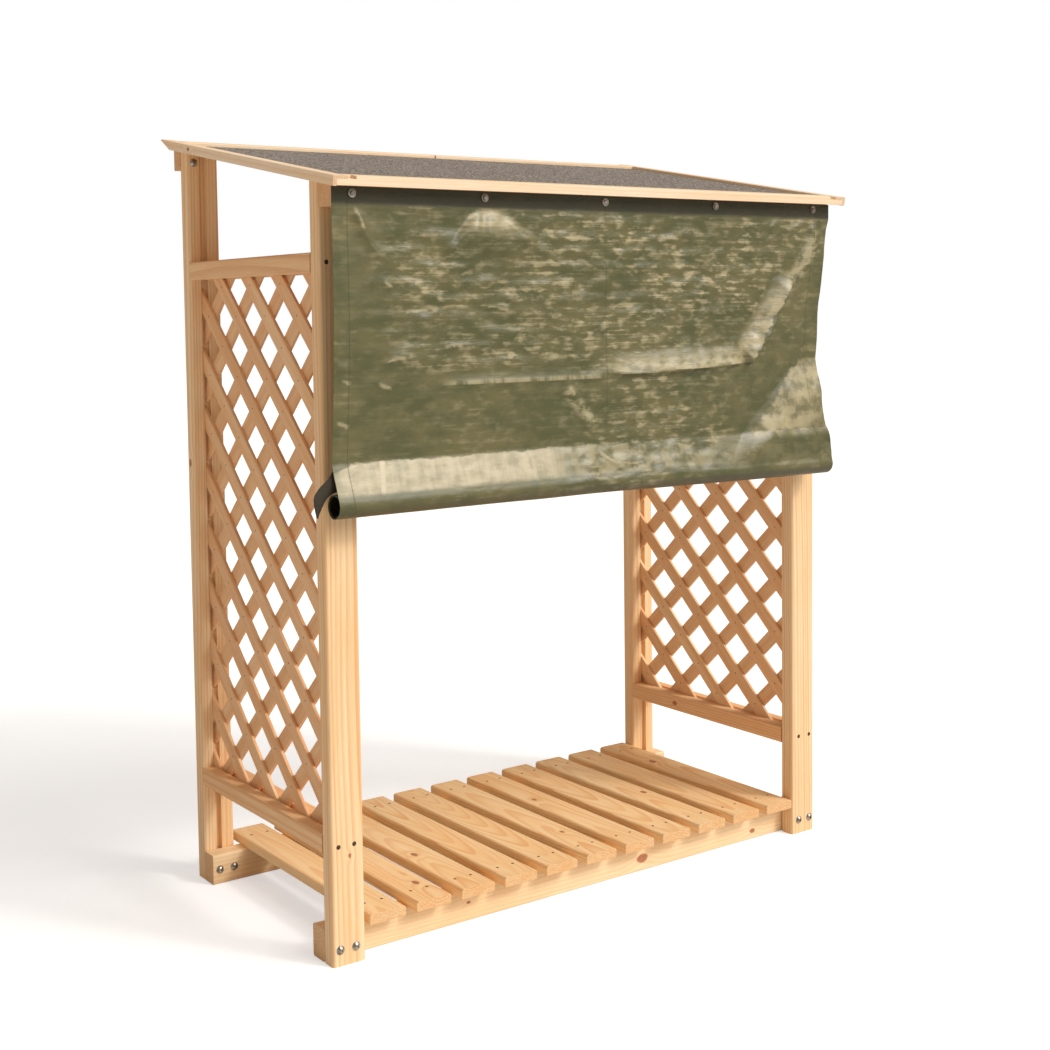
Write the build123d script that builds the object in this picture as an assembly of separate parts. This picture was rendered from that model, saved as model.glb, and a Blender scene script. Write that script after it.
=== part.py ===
from build123d import *
import math
import os

# Open-fronted log store in planed softwood, with lattice sides, a slatted
# floor, a felted roof that slopes to the front and a roll-up sheet cover.
# X runs left to right along the front, Y runs from front to back and Z is up.
# Lengths are millimetres. Everything is laid out from the left posts' outer
# face (x = 0), the front posts' front face (y = 0) and the ground (z = 0),
# and is moved at the end so that the origin is under the middle of the part.

# Frame
FRAME_WIDTH = 1276.0
FRAME_DEPTH = 588.0
POST_WIDTH = 70.0
POST_DEPTH = 35.0
POST_ROUNDING = 6.0
FRONT_POST_HEIGHT = 1440.0
ROOF_PITCH = 10.45
POST_TO_ROOF = 4.0

# Bottom rails, which stand on the ground between the two rows of posts
BOTTOM_RAIL_DEPTH = 41.0
BOTTOM_RAIL_HEIGHT = 63.0
RAIL_ROUNDING = 4.0

# Top rails, which are bolted to the outside of the posts and carry the roof
FRONT_TOP_RAIL_DEPTH = 48.0
FRONT_TOP_RAIL_DROP = 42.0
FRONT_TOP_RAIL_RIGHT_INSET = 8.0
REAR_TOP_RAIL_DEPTH = 28.0
REAR_TOP_RAIL_DROP = 29.0
REAR_TOP_RAIL_RELIEF = 30.0
REAR_TOP_RAIL_SHOULDER = 8.0

# Side panels: two rails and a lattice held in grooves
PANEL_GROUND_GAP = 207.0
PANEL_TOP_GAP = 121.0
PANEL_RAIL_HEIGHT = 37.0
PANEL_RAIL_ROUNDING = 3.0
GROOVE_FROM_OUTSIDE = 26.0
GROOVE_WIDTH = 15.0
GROOVE_DEPTH = 10.0
LATTICE_STRIP_WIDTH = 32.0
LATTICE_STRIP_THICKNESS = 7.0
LATTICE_PITCH_Y = 128.5
LATTICE_PITCH_Z = 122.5
LATTICE_CLEARANCE = 0.5
LEFT_LATTICE_PHASES = (22.5, -50.0)
RIGHT_LATTICE_PHASES = (-15.5, 22.0)

# Floor
SLAT_COUNT = 11
SLAT_WIDTH = 79.0
SLAT_THICKNESS = 20.0
SLAT_LEFT_GAP = 10.5
SLAT_RIGHT_GAP = 2.5
SLAT_TOP_ROUNDING = 6.0
SLAT_BOTTOM_ROUNDING = 1.5

# Roof
ROOF_FRONT_OVERHANG = 30.0
ROOF_REAR_OVERHANG = 20.0
ROOF_SIDE_OVERHANG = 13.0
ROOF_BOARD_THICKNESS = 10.0
FELT_THICKNESS = 2.0
SIDE_TRIM_WIDTH = 30.0
SIDE_TRIM_THICKNESS = 18.5
END_TRIM_WIDTH = 34.0
END_TRIM_THICKNESS = 17.0
TRIM_LAP = 12.0
TRIM_ROUNDING = 2.0
TRIM_TAIL_CUT = 46.0
TRIM_TAIL_REACH = 20.0
TRIM_LIP_HEIGHT = 13.0
TRIM_LIP_DEPTH = 12.0
TRIM_LIP_INSET = 8.0
TRIM_NOTCH_WIDTH = 17.0
TRIM_NOTCH_DEPTH = 20.0
TRIM_CLEARANCE = 0.3
REAR_TRIM_JOINT_SHARE = 0.5094
REAR_TRIM_JOINT_GAP = 4.0

# Bolts: button heads with a hexagon socket
BOLT_DIAMETER = 8.0
BOLT_CLEARANCE = 0.25
BOLT_HEAD_DIAMETER = 17.5
BOLT_HEAD_HEIGHT = 5.0
BOLT_SOCKET_WIDTH = 5.0
BOLT_SOCKET_DEPTH = 2.5
BOLT_FROM_OUTSIDE = 15.5
BOLT_SPACING = 33.5
FOOT_BOLT_HEIGHT = 31.0
BOLT_END_COVER = 6.0
TOP_BOLT_BELOW_ROOF = 20.0
FRONT_RIGHT_TOP_BOLT_FROM_OUTSIDE = 17.0

# Screws that hold the panel rails between the posts
SCREW_DIAMETER = 4.5
SCREW_HEAD_DIAMETER = 9.0
SCREW_HEAD_DEPTH = 3.0
SCREW_SUNK = 0.8
SCREW_GRIP = 30.0

# Nails through the ends of the slats into the bottom rails
NAIL_DIAMETER = 2.8
NAIL_HEAD_DIAMETER = 6.0
NAIL_HEAD_THICKNESS = 1.0
NAIL_GRIP = 28.0
NAIL_SPACING = 38.0

# Cover: a sheet fixed to the front top rail, rolled up from below
COVER_THICKNESS = 3.0
COVER_LEFT_INSET = 0.0
COVER_RIGHT_INSET = 8.0
COVER_TOP_GAP = 2.0
COVER_CLEARANCE = 0.3
COVER_DROP = 569.0
COVER_SCREW_LEFT_INSET = 41.0
COVER_SCREW_RIGHT_INSET = 50.0
COVER_SCREW_SHARES = (0.0, 0.2455, 0.4953, 0.7502, 1.0)
COVER_SCREW_BELOW_TOP = 12.0
COVER_SCREW_LENGTH = 30.0
WASHER_DIAMETER = 16.0
WASHER_THICKNESS = 1.2
PAN_HEAD_DIAMETER = 9.0
PAN_HEAD_HEIGHT = 3.0
ROLL_DIAMETER = 46.0
ROLL_END_PROUD = 8.0
STRAP_WIDTH = 25.0
STRAP_THICKNESS = 2.5
STRAP_ABOVE_ROLL = 52.0
STRAP_REACH = 52.0

# Worked out from the sizes above
slope = math.tan(math.radians(ROOF_PITCH))
inner_front = POST_DEPTH
inner_rear = FRAME_DEPTH - POST_DEPTH
panel_top = FRONT_POST_HEIGHT - PANEL_TOP_GAP
slat_length = FRAME_DEPTH


def roof_underside(y):
    """Height of the roof's underside above the ground at depth y."""
    return FRONT_POST_HEIGHT + POST_TO_ROOF + slope * y


rear_post_height = roof_underside(inner_rear) - POST_TO_ROOF
pieces = {}


def block(x, y, z):
    """A box from its low and high limits along each axis."""
    size = (x[1] - x[0], y[1] - y[0], z[1] - z[0])
    return Pos(x[0], y[0], z[0]) * Box(*size, align=(Align.MIN, Align.MIN, Align.MIN))


def rounded(shape, axis, radius):
    """The shape with its edges along one axis rounded."""
    return fillet(shape.edges().filter_by(axis), radius)


def mirrored_x(x, right):
    """A distance from the outer face, measured from the left or right side."""
    return FRAME_WIDTH - x if right else x


def turned_to(direction, shape):
    """The shape, modelled along +Z, turned to point along +Y or -Y."""
    return Rot(-90 if direction > 0 else 90, 0, 0) * shape


# Fasteners, modelled at the origin with the head above z = 0 and the shank
# pointing down, so that +Z is the way out of the wood.
def bolt(length):
    """A button-head bolt with a domed head and a hexagon socket."""
    radius = BOLT_HEAD_DIAMETER / 2
    ball = (radius ** 2 + BOLT_HEAD_HEIGHT ** 2) / (2 * BOLT_HEAD_HEIGHT)
    dome = Pos(0, 0, BOLT_HEAD_HEIGHT - ball) * Sphere(ball)
    head = dome & Pos(0, 0, BOLT_HEAD_HEIGHT / 2) * Cylinder(radius, BOLT_HEAD_HEIGHT)
    socket = extrude(RegularPolygon(BOLT_SOCKET_WIDTH / math.sqrt(3), 6), BOLT_SOCKET_DEPTH)
    head -= Pos(0, 0, BOLT_HEAD_HEIGHT - BOLT_SOCKET_DEPTH) * socket
    return head + Pos(0, 0, -length / 2) * Cylinder(BOLT_DIAMETER / 2, length)


def bolt_hole(length):
    """The hole that a bolt's shank passes through."""
    return Pos(0, 0, -length / 2) * Cylinder(BOLT_DIAMETER / 2 + BOLT_CLEARANCE, length)


def sunk_screw(length):
    """A countersunk screw whose head lies a little below the surface."""
    head = Pos(0, 0, -SCREW_SUNK - SCREW_HEAD_DEPTH / 2) * Cone(
        SCREW_DIAMETER / 2, SCREW_HEAD_DIAMETER / 2, SCREW_HEAD_DEPTH)
    return head + Pos(0, 0, -SCREW_SUNK - length / 2) * Cylinder(SCREW_DIAMETER / 2, length)


def sunk_screw_hole(length):
    """The screw's own hole, with the short well over its head."""
    well = Pos(0, 0, -SCREW_SUNK / 2) * Cylinder(SCREW_HEAD_DIAMETER / 2, SCREW_SUNK)
    return sunk_screw(length) + well


def nail(length):
    """A flat-head nail driven flush."""
    head = Pos(0, 0, -NAIL_HEAD_THICKNESS / 2) * Cylinder(NAIL_HEAD_DIAMETER / 2, NAIL_HEAD_THICKNESS)
    return head + Pos(0, 0, -length / 2) * Cylinder(NAIL_DIAMETER / 2, length)


# Where the fasteners go
bolt_offsets = (BOLT_FROM_OUTSIDE, BOLT_FROM_OUTSIDE + BOLT_SPACING)
front_foot_length = POST_DEPTH + BOTTOM_RAIL_DEPTH - BOLT_END_COVER
rear_foot_length = BOTTOM_RAIL_DEPTH + POST_DEPTH - BOLT_END_COVER
rear_rail_front = inner_rear - BOTTOM_RAIL_DEPTH
foot_bolts = []
foot_holes = []
top_bolts = []
top_holes = []
panel_screws = []
panel_holes = []
front_top_length = POST_DEPTH + FRONT_TOP_RAIL_DEPTH - BOLT_END_COVER
rear_top_length = POST_DEPTH + REAR_TOP_RAIL_DEPTH - BOLT_END_COVER
front_top_bolt_z = FRONT_POST_HEIGHT - TOP_BOLT_BELOW_ROOF
rear_top_bolt_z = rear_post_height - TOP_BOLT_BELOW_ROOF + POST_TO_ROOF
panel_screw_heights = (PANEL_GROUND_GAP + PANEL_RAIL_HEIGHT / 2, panel_top - PANEL_RAIL_HEIGHT / 2)
panel_screw_length = POST_DEPTH + SCREW_GRIP

for right in (False, True):
    for offset in bolt_offsets:
        x = mirrored_x(offset, right)
        at_front = Pos(x, 0, FOOT_BOLT_HEIGHT)
        at_rear = Pos(x, rear_rail_front, FOOT_BOLT_HEIGHT)
        foot_bolts.append(at_front * turned_to(-1, bolt(front_foot_length)))
        foot_holes.append(at_front * turned_to(-1, bolt_hole(front_foot_length)))
        foot_bolts.append(at_rear * turned_to(-1, bolt(rear_foot_length)))
        foot_holes.append(at_rear * turned_to(-1, bolt_hole(rear_foot_length)))
        for z in panel_screw_heights:
            at_front = Pos(x, 0, z)
            at_rear = Pos(x, FRAME_DEPTH, z)
            panel_screws.append(at_front * turned_to(-1, sunk_screw(panel_screw_length)))
            panel_holes.append(at_front * turned_to(-1, sunk_screw_hole(panel_screw_length)))
            panel_screws.append(at_rear * turned_to(1, sunk_screw(panel_screw_length)))
            panel_holes.append(at_rear * turned_to(1, sunk_screw_hole(panel_screw_length)))
    x = mirrored_x(BOLT_FROM_OUTSIDE, right)
    front_x = FRAME_WIDTH - FRONT_RIGHT_TOP_BOLT_FROM_OUTSIDE if right else x
    at_front = Pos(front_x, inner_front, front_top_bolt_z)
    at_rear = Pos(x, inner_rear, rear_top_bolt_z)
    top_bolts.append(at_front * turned_to(1, bolt(front_top_length)))
    top_holes.append(at_front * turned_to(1, bolt_hole(front_top_length)))
    top_bolts.append(at_rear * turned_to(-1, bolt(rear_top_length)))
    top_holes.append(at_rear * turned_to(-1, bolt_hole(rear_top_length)))

pieces["foot_bolts"] = Compound(foot_bolts)
pieces["top_rail_bolts"] = Compound(top_bolts)
pieces["panel_screws"] = Compound(panel_screws)


def drilled(shape, holes):
    """The shape with every hole that reaches it cut out."""
    limits = shape.bounding_box()
    for hole in holes:
        reach = hole.bounding_box()
        clear = (
            reach.min.X > limits.max.X or reach.max.X < limits.min.X
            or reach.min.Y > limits.max.Y or reach.max.Y < limits.min.Y
            or reach.min.Z > limits.max.Z or reach.max.Z < limits.min.Z
        )
        if not clear:
            shape = shape - hole
    return shape


# Everything above the roof's underside, to plane the tops of the posts with
above_y = (-FRAME_DEPTH, 2 * FRAME_DEPTH)
above_outline = Polyline(
    (above_y[0], roof_underside(above_y[0])), (above_y[1], roof_underside(above_y[1])),
    (above_y[1], 2 * FRONT_POST_HEIGHT), (above_y[0], 2 * FRONT_POST_HEIGHT), close=True)
above_roof_underside = extrude(Plane.YZ * make_face(above_outline), FRAME_WIDTH)

# Posts, each with a groove down its inner face for the lattice and its top
# planed to the slope of the roof
frame_holes = foot_holes + top_holes + panel_holes
for name, right, rear in (
    ("front_left_post", False, False),
    ("front_right_post", True, False),
    ("rear_left_post", False, True),
    ("rear_right_post", True, True),
):
    x = (FRAME_WIDTH - POST_WIDTH, FRAME_WIDTH) if right else (0, POST_WIDTH)
    y = (inner_rear, FRAME_DEPTH) if rear else (0, POST_DEPTH)
    height = roof_underside(y[1])
    post = rounded(block(x, y, (0, height)), Axis.Z, POST_ROUNDING)
    groove_x = sorted((mirrored_x(GROOVE_FROM_OUTSIDE, right),
                       mirrored_x(GROOVE_FROM_OUTSIDE + GROOVE_WIDTH, right)))
    groove_y = (inner_rear, inner_rear + GROOVE_DEPTH) if rear else (POST_DEPTH - GROOVE_DEPTH, POST_DEPTH)
    post -= block(groove_x, groove_y, (0, height))
    post -= above_roof_underside
    pieces[name] = drilled(post, frame_holes)

# Bottom rails
front_bottom_y = (inner_front, inner_front + BOTTOM_RAIL_DEPTH)
rear_bottom_y = (rear_rail_front, inner_rear)
bottom_rail_z = (0, BOTTOM_RAIL_HEIGHT)
front_bottom_rail = rounded(block((0, FRAME_WIDTH), front_bottom_y, bottom_rail_z), Axis.X, RAIL_ROUNDING)
rear_bottom_rail = rounded(block((0, FRAME_WIDTH), rear_bottom_y, bottom_rail_z), Axis.X, RAIL_ROUNDING)

# Floor slats, with two nails through each end
slat_top = BOTTOM_RAIL_HEIGHT + SLAT_THICKNESS
first_slat_x = POST_WIDTH + SLAT_LEFT_GAP
last_slat_x = FRAME_WIDTH - POST_WIDTH - SLAT_RIGHT_GAP - SLAT_WIDTH
slat_pitch = (last_slat_x - first_slat_x) / (SLAT_COUNT - 1)
nail_length = SLAT_THICKNESS + NAIL_GRIP
nails = []
for index in range(SLAT_COUNT):
    x = first_slat_x + slat_pitch * index
    slat = block((x, x + SLAT_WIDTH), (0, slat_length), (BOTTOM_RAIL_HEIGHT, slat_top))
    slat = fillet(slat.edges().filter_by(Axis.Y).group_by(Axis.Z)[-1], SLAT_TOP_ROUNDING)
    slat = fillet(slat.edges().filter_by(Axis.Y).group_by(Axis.Z)[0], SLAT_BOTTOM_ROUNDING)
    slat_nails = []
    for rail_y in (front_bottom_y, rear_bottom_y):
        for side in (-1, 1):
            nail_x = x + SLAT_WIDTH / 2 + side * NAIL_SPACING / 2
            slat_nails.append(Pos(nail_x, sum(rail_y) / 2, slat_top) * nail(nail_length))
    for one in slat_nails:
        slat -= one
    nails += slat_nails
    pieces[f"floor_slat_{index + 1:02d}"] = slat

pieces["slat_nails"] = Compound(nails)
pieces["front_bottom_rail"] = drilled(front_bottom_rail, foot_holes + nails)
pieces["rear_bottom_rail"] = drilled(rear_bottom_rail, foot_holes + nails)

# Top rails, with their upper faces planed to the slope of the roof
front_rail_y = (-FRONT_TOP_RAIL_DEPTH, 0)
front_rail_bottom = FRONT_POST_HEIGHT - FRONT_TOP_RAIL_DROP
rear_rail_y = (FRAME_DEPTH, FRAME_DEPTH + REAR_TOP_RAIL_DEPTH)
rear_rail_bottom = rear_post_height - REAR_TOP_RAIL_DROP


def top_rail(x, y, bottom):
    """A rail along X whose upper face follows the roof's underside."""
    outline = Polyline(
        (y[0], bottom), (y[1], bottom), (y[1], roof_underside(y[1])), (y[0], roof_underside(y[0])), close=True)
    face = Plane.YZ * make_face(outline)
    rail = Pos(x[0], 0, 0) * extrude(face, x[1] - x[0])
    lower = rail.edges().filter_by(Axis.X).group_by(Axis.Z)[0]
    return fillet(lower, RAIL_ROUNDING)


front_top_rail = top_rail((0, FRAME_WIDTH - FRONT_TOP_RAIL_RIGHT_INSET), front_rail_y, front_rail_bottom)
rear_top_rail = top_rail((0, FRAME_WIDTH), rear_rail_y, rear_rail_bottom)
relief_x = (POST_WIDTH + REAR_TOP_RAIL_SHOULDER, FRAME_WIDTH - POST_WIDTH - REAR_TOP_RAIL_SHOULDER)
rear_top_rail -= block(relief_x, rear_rail_y, (rear_rail_bottom, rear_rail_bottom + REAR_TOP_RAIL_RELIEF))

# Side panels
panel_y = (inner_front, inner_rear)
low_rail_z = (PANEL_GROUND_GAP, PANEL_GROUND_GAP + PANEL_RAIL_HEIGHT)
high_rail_z = (panel_top - PANEL_RAIL_HEIGHT, panel_top)
lattice_y = (inner_front - GROOVE_DEPTH + LATTICE_CLEARANCE, inner_rear + GROOVE_DEPTH - LATTICE_CLEARANCE)
lattice_z = (low_rail_z[1] - GROOVE_DEPTH + LATTICE_CLEARANCE, high_rail_z[0] + GROOVE_DEPTH - LATTICE_CLEARANCE)
strip_angle = math.degrees(math.atan2(LATTICE_PITCH_Z, LATTICE_PITCH_Y))
strip_length = 2 * math.hypot(lattice_y[1] - lattice_y[0], lattice_z[1] - lattice_z[0])


def lattice_layer(x, direction, phase):
    """Parallel strips in one plane: direction 1 rises to the rear, -1 to the front."""
    mid_y = (lattice_y[0] + lattice_y[1]) / 2
    mid_z = (lattice_z[0] + lattice_z[1]) / 2
    width = lattice_y[1] - lattice_y[0]
    height = lattice_z[1] - lattice_z[0]
    reach = math.ceil((width + height * LATTICE_PITCH_Y / LATTICE_PITCH_Z) / 2 / LATTICE_PITCH_Y) + 1
    outline = Rectangle(width, height)
    strips = []
    for step in range(-reach, reach + 1):
        at = Pos(direction * phase + step * LATTICE_PITCH_Y, 0)
        strip = at * Rot(0, 0, direction * strip_angle) * Rectangle(strip_length, LATTICE_STRIP_WIDTH)
        kept = strip & outline
        if kept is not None and kept.area > LATTICE_STRIP_WIDTH ** 2 / 4:
            strips += kept.faces()
    plane = Plane(origin=(x, mid_y, mid_z), x_dir=(0, 1, 0), z_dir=(1, 0, 0))
    solids = []
    for face in strips:
        solids += extrude(plane * face, LATTICE_STRIP_THICKNESS, dir=(1, 0, 0)).solids()
    return solids


for side, right, phases in (("left", False, LEFT_LATTICE_PHASES), ("right", True, RIGHT_LATTICE_PHASES)):
    x = (FRAME_WIDTH - POST_WIDTH, FRAME_WIDTH) if right else (0, POST_WIDTH)
    groove_x = sorted((mirrored_x(GROOVE_FROM_OUTSIDE, right),
                       mirrored_x(GROOVE_FROM_OUTSIDE + GROOVE_WIDTH, right)))
    high = rounded(block(x, panel_y, high_rail_z), Axis.Y, PANEL_RAIL_ROUNDING)
    high -= block(groove_x, panel_y, (high_rail_z[0], high_rail_z[0] + GROOVE_DEPTH))
    low = rounded(block(x, panel_y, low_rail_z), Axis.Y, PANEL_RAIL_ROUNDING)
    low -= block(groove_x, panel_y, (low_rail_z[1] - GROOVE_DEPTH, low_rail_z[1]))
    pieces[f"{side}_panel_top_rail"] = drilled(high, panel_holes)
    pieces[f"{side}_panel_bottom_rail"] = drilled(low, panel_holes)
    play = (GROOVE_WIDTH - 2 * LATTICE_STRIP_THICKNESS) / 2
    outer_x = groove_x[0] + play
    rising = lattice_layer(outer_x, 1, phases[0])
    falling = lattice_layer(outer_x + LATTICE_STRIP_THICKNESS, -1, phases[1])
    # A scrap in a corner that no other strip crosses is left out.
    joined = rising[0].fuse(*rising[1:], *falling).solids().sort_by(SortBy.VOLUME)
    pieces[f"{side}_lattice"] = joined[-1]

# Roof, laid out flat in its own plane from the front edge of the underside
# (y = 0, z = 0) and then tilted. The trims frame the board and lap its felt.
front_edge_y = -FRONT_TOP_RAIL_DEPTH - ROOF_FRONT_OVERHANG
rear_edge_y = FRAME_DEPTH + REAR_TOP_RAIL_DEPTH + ROOF_REAR_OVERHANG
roof_length = (rear_edge_y - front_edge_y) / math.cos(math.radians(ROOF_PITCH))
roof_x = (-ROOF_SIDE_OVERHANG, FRAME_WIDTH + ROOF_SIDE_OVERHANG)
tilt = Pos(0, front_edge_y, roof_underside(front_edge_y)) * Rot(ROOF_PITCH, 0, 0)
board_x = (roof_x[0] + SIDE_TRIM_WIDTH - TRIM_LAP, roof_x[1] - SIDE_TRIM_WIDTH + TRIM_LAP)
board_y = (END_TRIM_WIDTH - TRIM_LAP, roof_length - END_TRIM_WIDTH + TRIM_LAP)
felt_z = (ROOF_BOARD_THICKNESS, ROOF_BOARD_THICKNESS + FELT_THICKNESS)
board = block(board_x, board_y, (0, ROOF_BOARD_THICKNESS))
felt = block(board_x, board_y, felt_z)
covered = block(board_x, board_y, (0, felt_z[1]))
trim_top = SIDE_TRIM_THICKNESS
end_trim_z = (trim_top - END_TRIM_THICKNESS, trim_top)
end_trim_x = (roof_x[0] + SIDE_TRIM_WIDTH, roof_x[1] - SIDE_TRIM_WIDTH)
lip_x = (roof_x[0] + TRIM_LIP_INSET, roof_x[1] - TRIM_LIP_INSET)


def side_trim(x):
    """A trim along the slope, halved over the front trim and pointed at the rear."""
    tip = roof_length + TRIM_TAIL_REACH
    shape = block(x, (0, tip), (0, trim_top))
    tail = Polyline((tip - TRIM_TAIL_CUT, 0), (tip, trim_top - TRIM_ROUNDING), (tip, 0), close=True)
    cut = Pos(x[0], 0, 0) * extrude(Plane.YZ * make_face(tail), x[1] - x[0])
    upper = shape.edges().filter_by(Axis.Y).group_by(Axis.Z)[-1]
    halving = block(
        (lip_x[0] - TRIM_CLEARANCE, lip_x[1] + TRIM_CLEARANCE),
        (0, TRIM_LIP_DEPTH + TRIM_CLEARANCE), (0, TRIM_LIP_HEIGHT + TRIM_CLEARANCE))
    return fillet(upper, TRIM_ROUNDING) - cut - covered - halving


def end_trim(x, y):
    """A trim along X between the side trims."""
    shape = block(x, y, end_trim_z)
    upper = shape.edges().filter_by(Axis.X).group_by(Axis.Z)[-1]
    return fillet(upper, TRIM_ROUNDING) - covered


front_trim = end_trim(end_trim_x, (0, END_TRIM_WIDTH))
for x in ((end_trim_x[0], end_trim_x[0] + TRIM_NOTCH_WIDTH), (end_trim_x[1] - TRIM_NOTCH_WIDTH, end_trim_x[1])):
    front_trim -= block(x, (0, TRIM_NOTCH_DEPTH), (TRIM_LIP_HEIGHT, trim_top))
front_trim += block(lip_x, (0, TRIM_LIP_DEPTH), (end_trim_z[0], TRIM_LIP_HEIGHT))
rear_trim_y = (roof_length - END_TRIM_WIDTH, roof_length)
rear_trim_joint = FRAME_WIDTH * REAR_TRIM_JOINT_SHARE
pieces["roof_board"] = tilt * board
pieces["roof_felt"] = tilt * felt
pieces["left_roof_trim"] = tilt * side_trim((roof_x[0], roof_x[0] + SIDE_TRIM_WIDTH))
pieces["right_roof_trim"] = tilt * side_trim((roof_x[1] - SIDE_TRIM_WIDTH, roof_x[1]))
pieces["front_roof_trim"] = tilt * front_trim
pieces["rear_left_roof_trim"] = tilt * end_trim((end_trim_x[0], rear_trim_joint), rear_trim_y)
pieces["rear_right_roof_trim"] = tilt * end_trim(
    (rear_trim_joint + REAR_TRIM_JOINT_GAP, end_trim_x[1]), rear_trim_y)

# Cover: plain closed solids in the place of the sheet, its roll and its tie
rail_face = front_rail_y[0]
cover_back = rail_face - COVER_CLEARANCE
cover_front = cover_back - COVER_THICKNESS
cover_top = roof_underside(cover_front) - COVER_TOP_GAP
cover_x = (COVER_LEFT_INSET, FRAME_WIDTH - COVER_RIGHT_INSET)
roll_z = cover_top - COVER_DROP
roll_y = (cover_back + cover_front) / 2
roll_top = roll_z + ROLL_DIAMETER / 2
sheet = block(cover_x, (cover_front, cover_back), (roll_top + COVER_CLEARANCE, cover_top))
roll_x = (cover_x[0] - ROLL_END_PROUD, cover_x[1] - ROLL_END_PROUD)
roll_length = roll_x[1] - roll_x[0]
roll = Cylinder(ROLL_DIAMETER / 2, roll_length, align=(Align.CENTER, Align.CENTER, Align.MIN))
pieces["cover_roll"] = Pos(roll_x[0], roll_y, roll_z) * Rot(0, 90, 0) * roll

# Screws with washers along the cover's upper edge
screw_z = cover_top - COVER_SCREW_BELOW_TOP
screw_span = cover_x[1] - COVER_SCREW_RIGHT_INSET - cover_x[0] - COVER_SCREW_LEFT_INSET
cover_screws = []
for share in COVER_SCREW_SHARES:
    x = cover_x[0] + COVER_SCREW_LEFT_INSET + screw_span * share
    washer = Pos(0, 0, WASHER_THICKNESS / 2) * Cylinder(WASHER_DIAMETER / 2, WASHER_THICKNESS)
    head = Pos(0, 0, WASHER_THICKNESS + PAN_HEAD_HEIGHT / 2) * Cylinder(PAN_HEAD_DIAMETER / 2, PAN_HEAD_HEIGHT)
    head = fillet(head.edges().group_by(Axis.Z)[-1], PAN_HEAD_HEIGHT * 0.6)
    shank = Pos(0, 0, -COVER_SCREW_LENGTH / 2) * Cylinder(SCREW_DIAMETER / 2, COVER_SCREW_LENGTH)
    screw = Pos(x, cover_front, screw_z) * turned_to(-1, washer + head + shank)
    cover_screws.append(screw)
    sheet -= screw
    front_top_rail -= screw
pieces["cover_sheet"] = sheet
pieces["cover_screws"] = Compound(cover_screws)
pieces["front_top_rail"] = drilled(front_top_rail, top_holes)
pieces["rear_top_rail"] = drilled(rear_top_rail, top_holes)

# Tie strap, curling out to the left from the sheet's edge and down past the roll
strap_start = (cover_x[0] - COVER_CLEARANCE, roll_z + STRAP_ABOVE_ROLL)
strap_end = (cover_x[0] - STRAP_REACH, roll_z - ROLL_DIAMETER / 2)
strap_mid = (cover_x[0] - 0.8 * STRAP_REACH, roll_z + 0.65 * STRAP_ABOVE_ROLL)
outer_arc = ThreePointArc(strap_start, strap_mid, strap_end)
centre = outer_arc.arc_center
inner = []
for point in (strap_start, strap_mid, strap_end):
    away = Vector(*point) - centre
    inner.append(centre + away * (1 - STRAP_THICKNESS / away.length))
inner_arc = ThreePointArc(*inner)
strap_edges = [outer_arc, Line(outer_arc @ 1, inner_arc @ 1), inner_arc, Line(inner_arc @ 0, outer_arc @ 0)]
strap_face = Plane.XZ * make_face(Curve() + strap_edges)
strap = extrude(strap_face, STRAP_WIDTH)
pieces["cover_strap"] = Pos(0, roll_y + STRAP_WIDTH / 2, 0) * strap

# The origin is on the ground under the middle of the whole part's box.
boxes = [shape.bounding_box() for shape in pieces.values()]
whole_x = (min(box.min.X for box in boxes), max(box.max.X for box in boxes))
whole_y = (min(box.min.Y for box in boxes), max(box.max.Y for box in boxes))
whole_z = max(box.max.Z for box in boxes)
to_origin = Pos(-sum(whole_x) / 2, -sum(whole_y) / 2, 0)
os.makedirs("parts", exist_ok=True)
for name, shape in pieces.items():
    export_step(to_origin * shape, f"parts/{name}.step")
print("moved by", to_origin.position)
print("size", whole_x[1] - whole_x[0], whole_y[1] - whole_y[0], whole_z)
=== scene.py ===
import math
import random

import bpy
from mathutils import Matrix, Vector, noise


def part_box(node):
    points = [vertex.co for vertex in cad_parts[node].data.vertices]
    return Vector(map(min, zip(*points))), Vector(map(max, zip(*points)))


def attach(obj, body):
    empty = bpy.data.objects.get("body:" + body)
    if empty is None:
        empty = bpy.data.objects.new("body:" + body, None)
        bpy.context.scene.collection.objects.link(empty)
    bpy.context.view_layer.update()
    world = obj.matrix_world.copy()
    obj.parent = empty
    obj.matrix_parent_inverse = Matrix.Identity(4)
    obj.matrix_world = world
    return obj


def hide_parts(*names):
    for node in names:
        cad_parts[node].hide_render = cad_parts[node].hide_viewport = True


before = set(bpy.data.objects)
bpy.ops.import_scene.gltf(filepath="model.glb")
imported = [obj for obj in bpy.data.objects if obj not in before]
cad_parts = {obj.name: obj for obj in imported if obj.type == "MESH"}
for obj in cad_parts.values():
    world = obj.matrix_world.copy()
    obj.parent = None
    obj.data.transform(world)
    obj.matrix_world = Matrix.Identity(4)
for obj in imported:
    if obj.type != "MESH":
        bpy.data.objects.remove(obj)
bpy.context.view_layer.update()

# The camera stands to the left of the store at chest height and looks down a
# little, as in the photograph, through a lens of about 52 mm.
PICTURE = 1050
focal, centre_x, centre_y = 1527.7, 461.2, 410.2
yaw, pitch, roll = 0.6003, -0.0643, 0.0150
CAMERA_PLACE = (-1.96268, -2.69615, 1.20731)
camera_data = bpy.data.cameras.new("front_left_view")
camera_data.sensor_width = 36
camera_data.lens = focal / PICTURE * camera_data.sensor_width
camera_data.shift_x = (PICTURE / 2 - centre_x) / PICTURE
camera_data.shift_y = (centre_y - PICTURE / 2) / PICTURE
camera = bpy.data.objects.new("front_left_view", camera_data)
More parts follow.
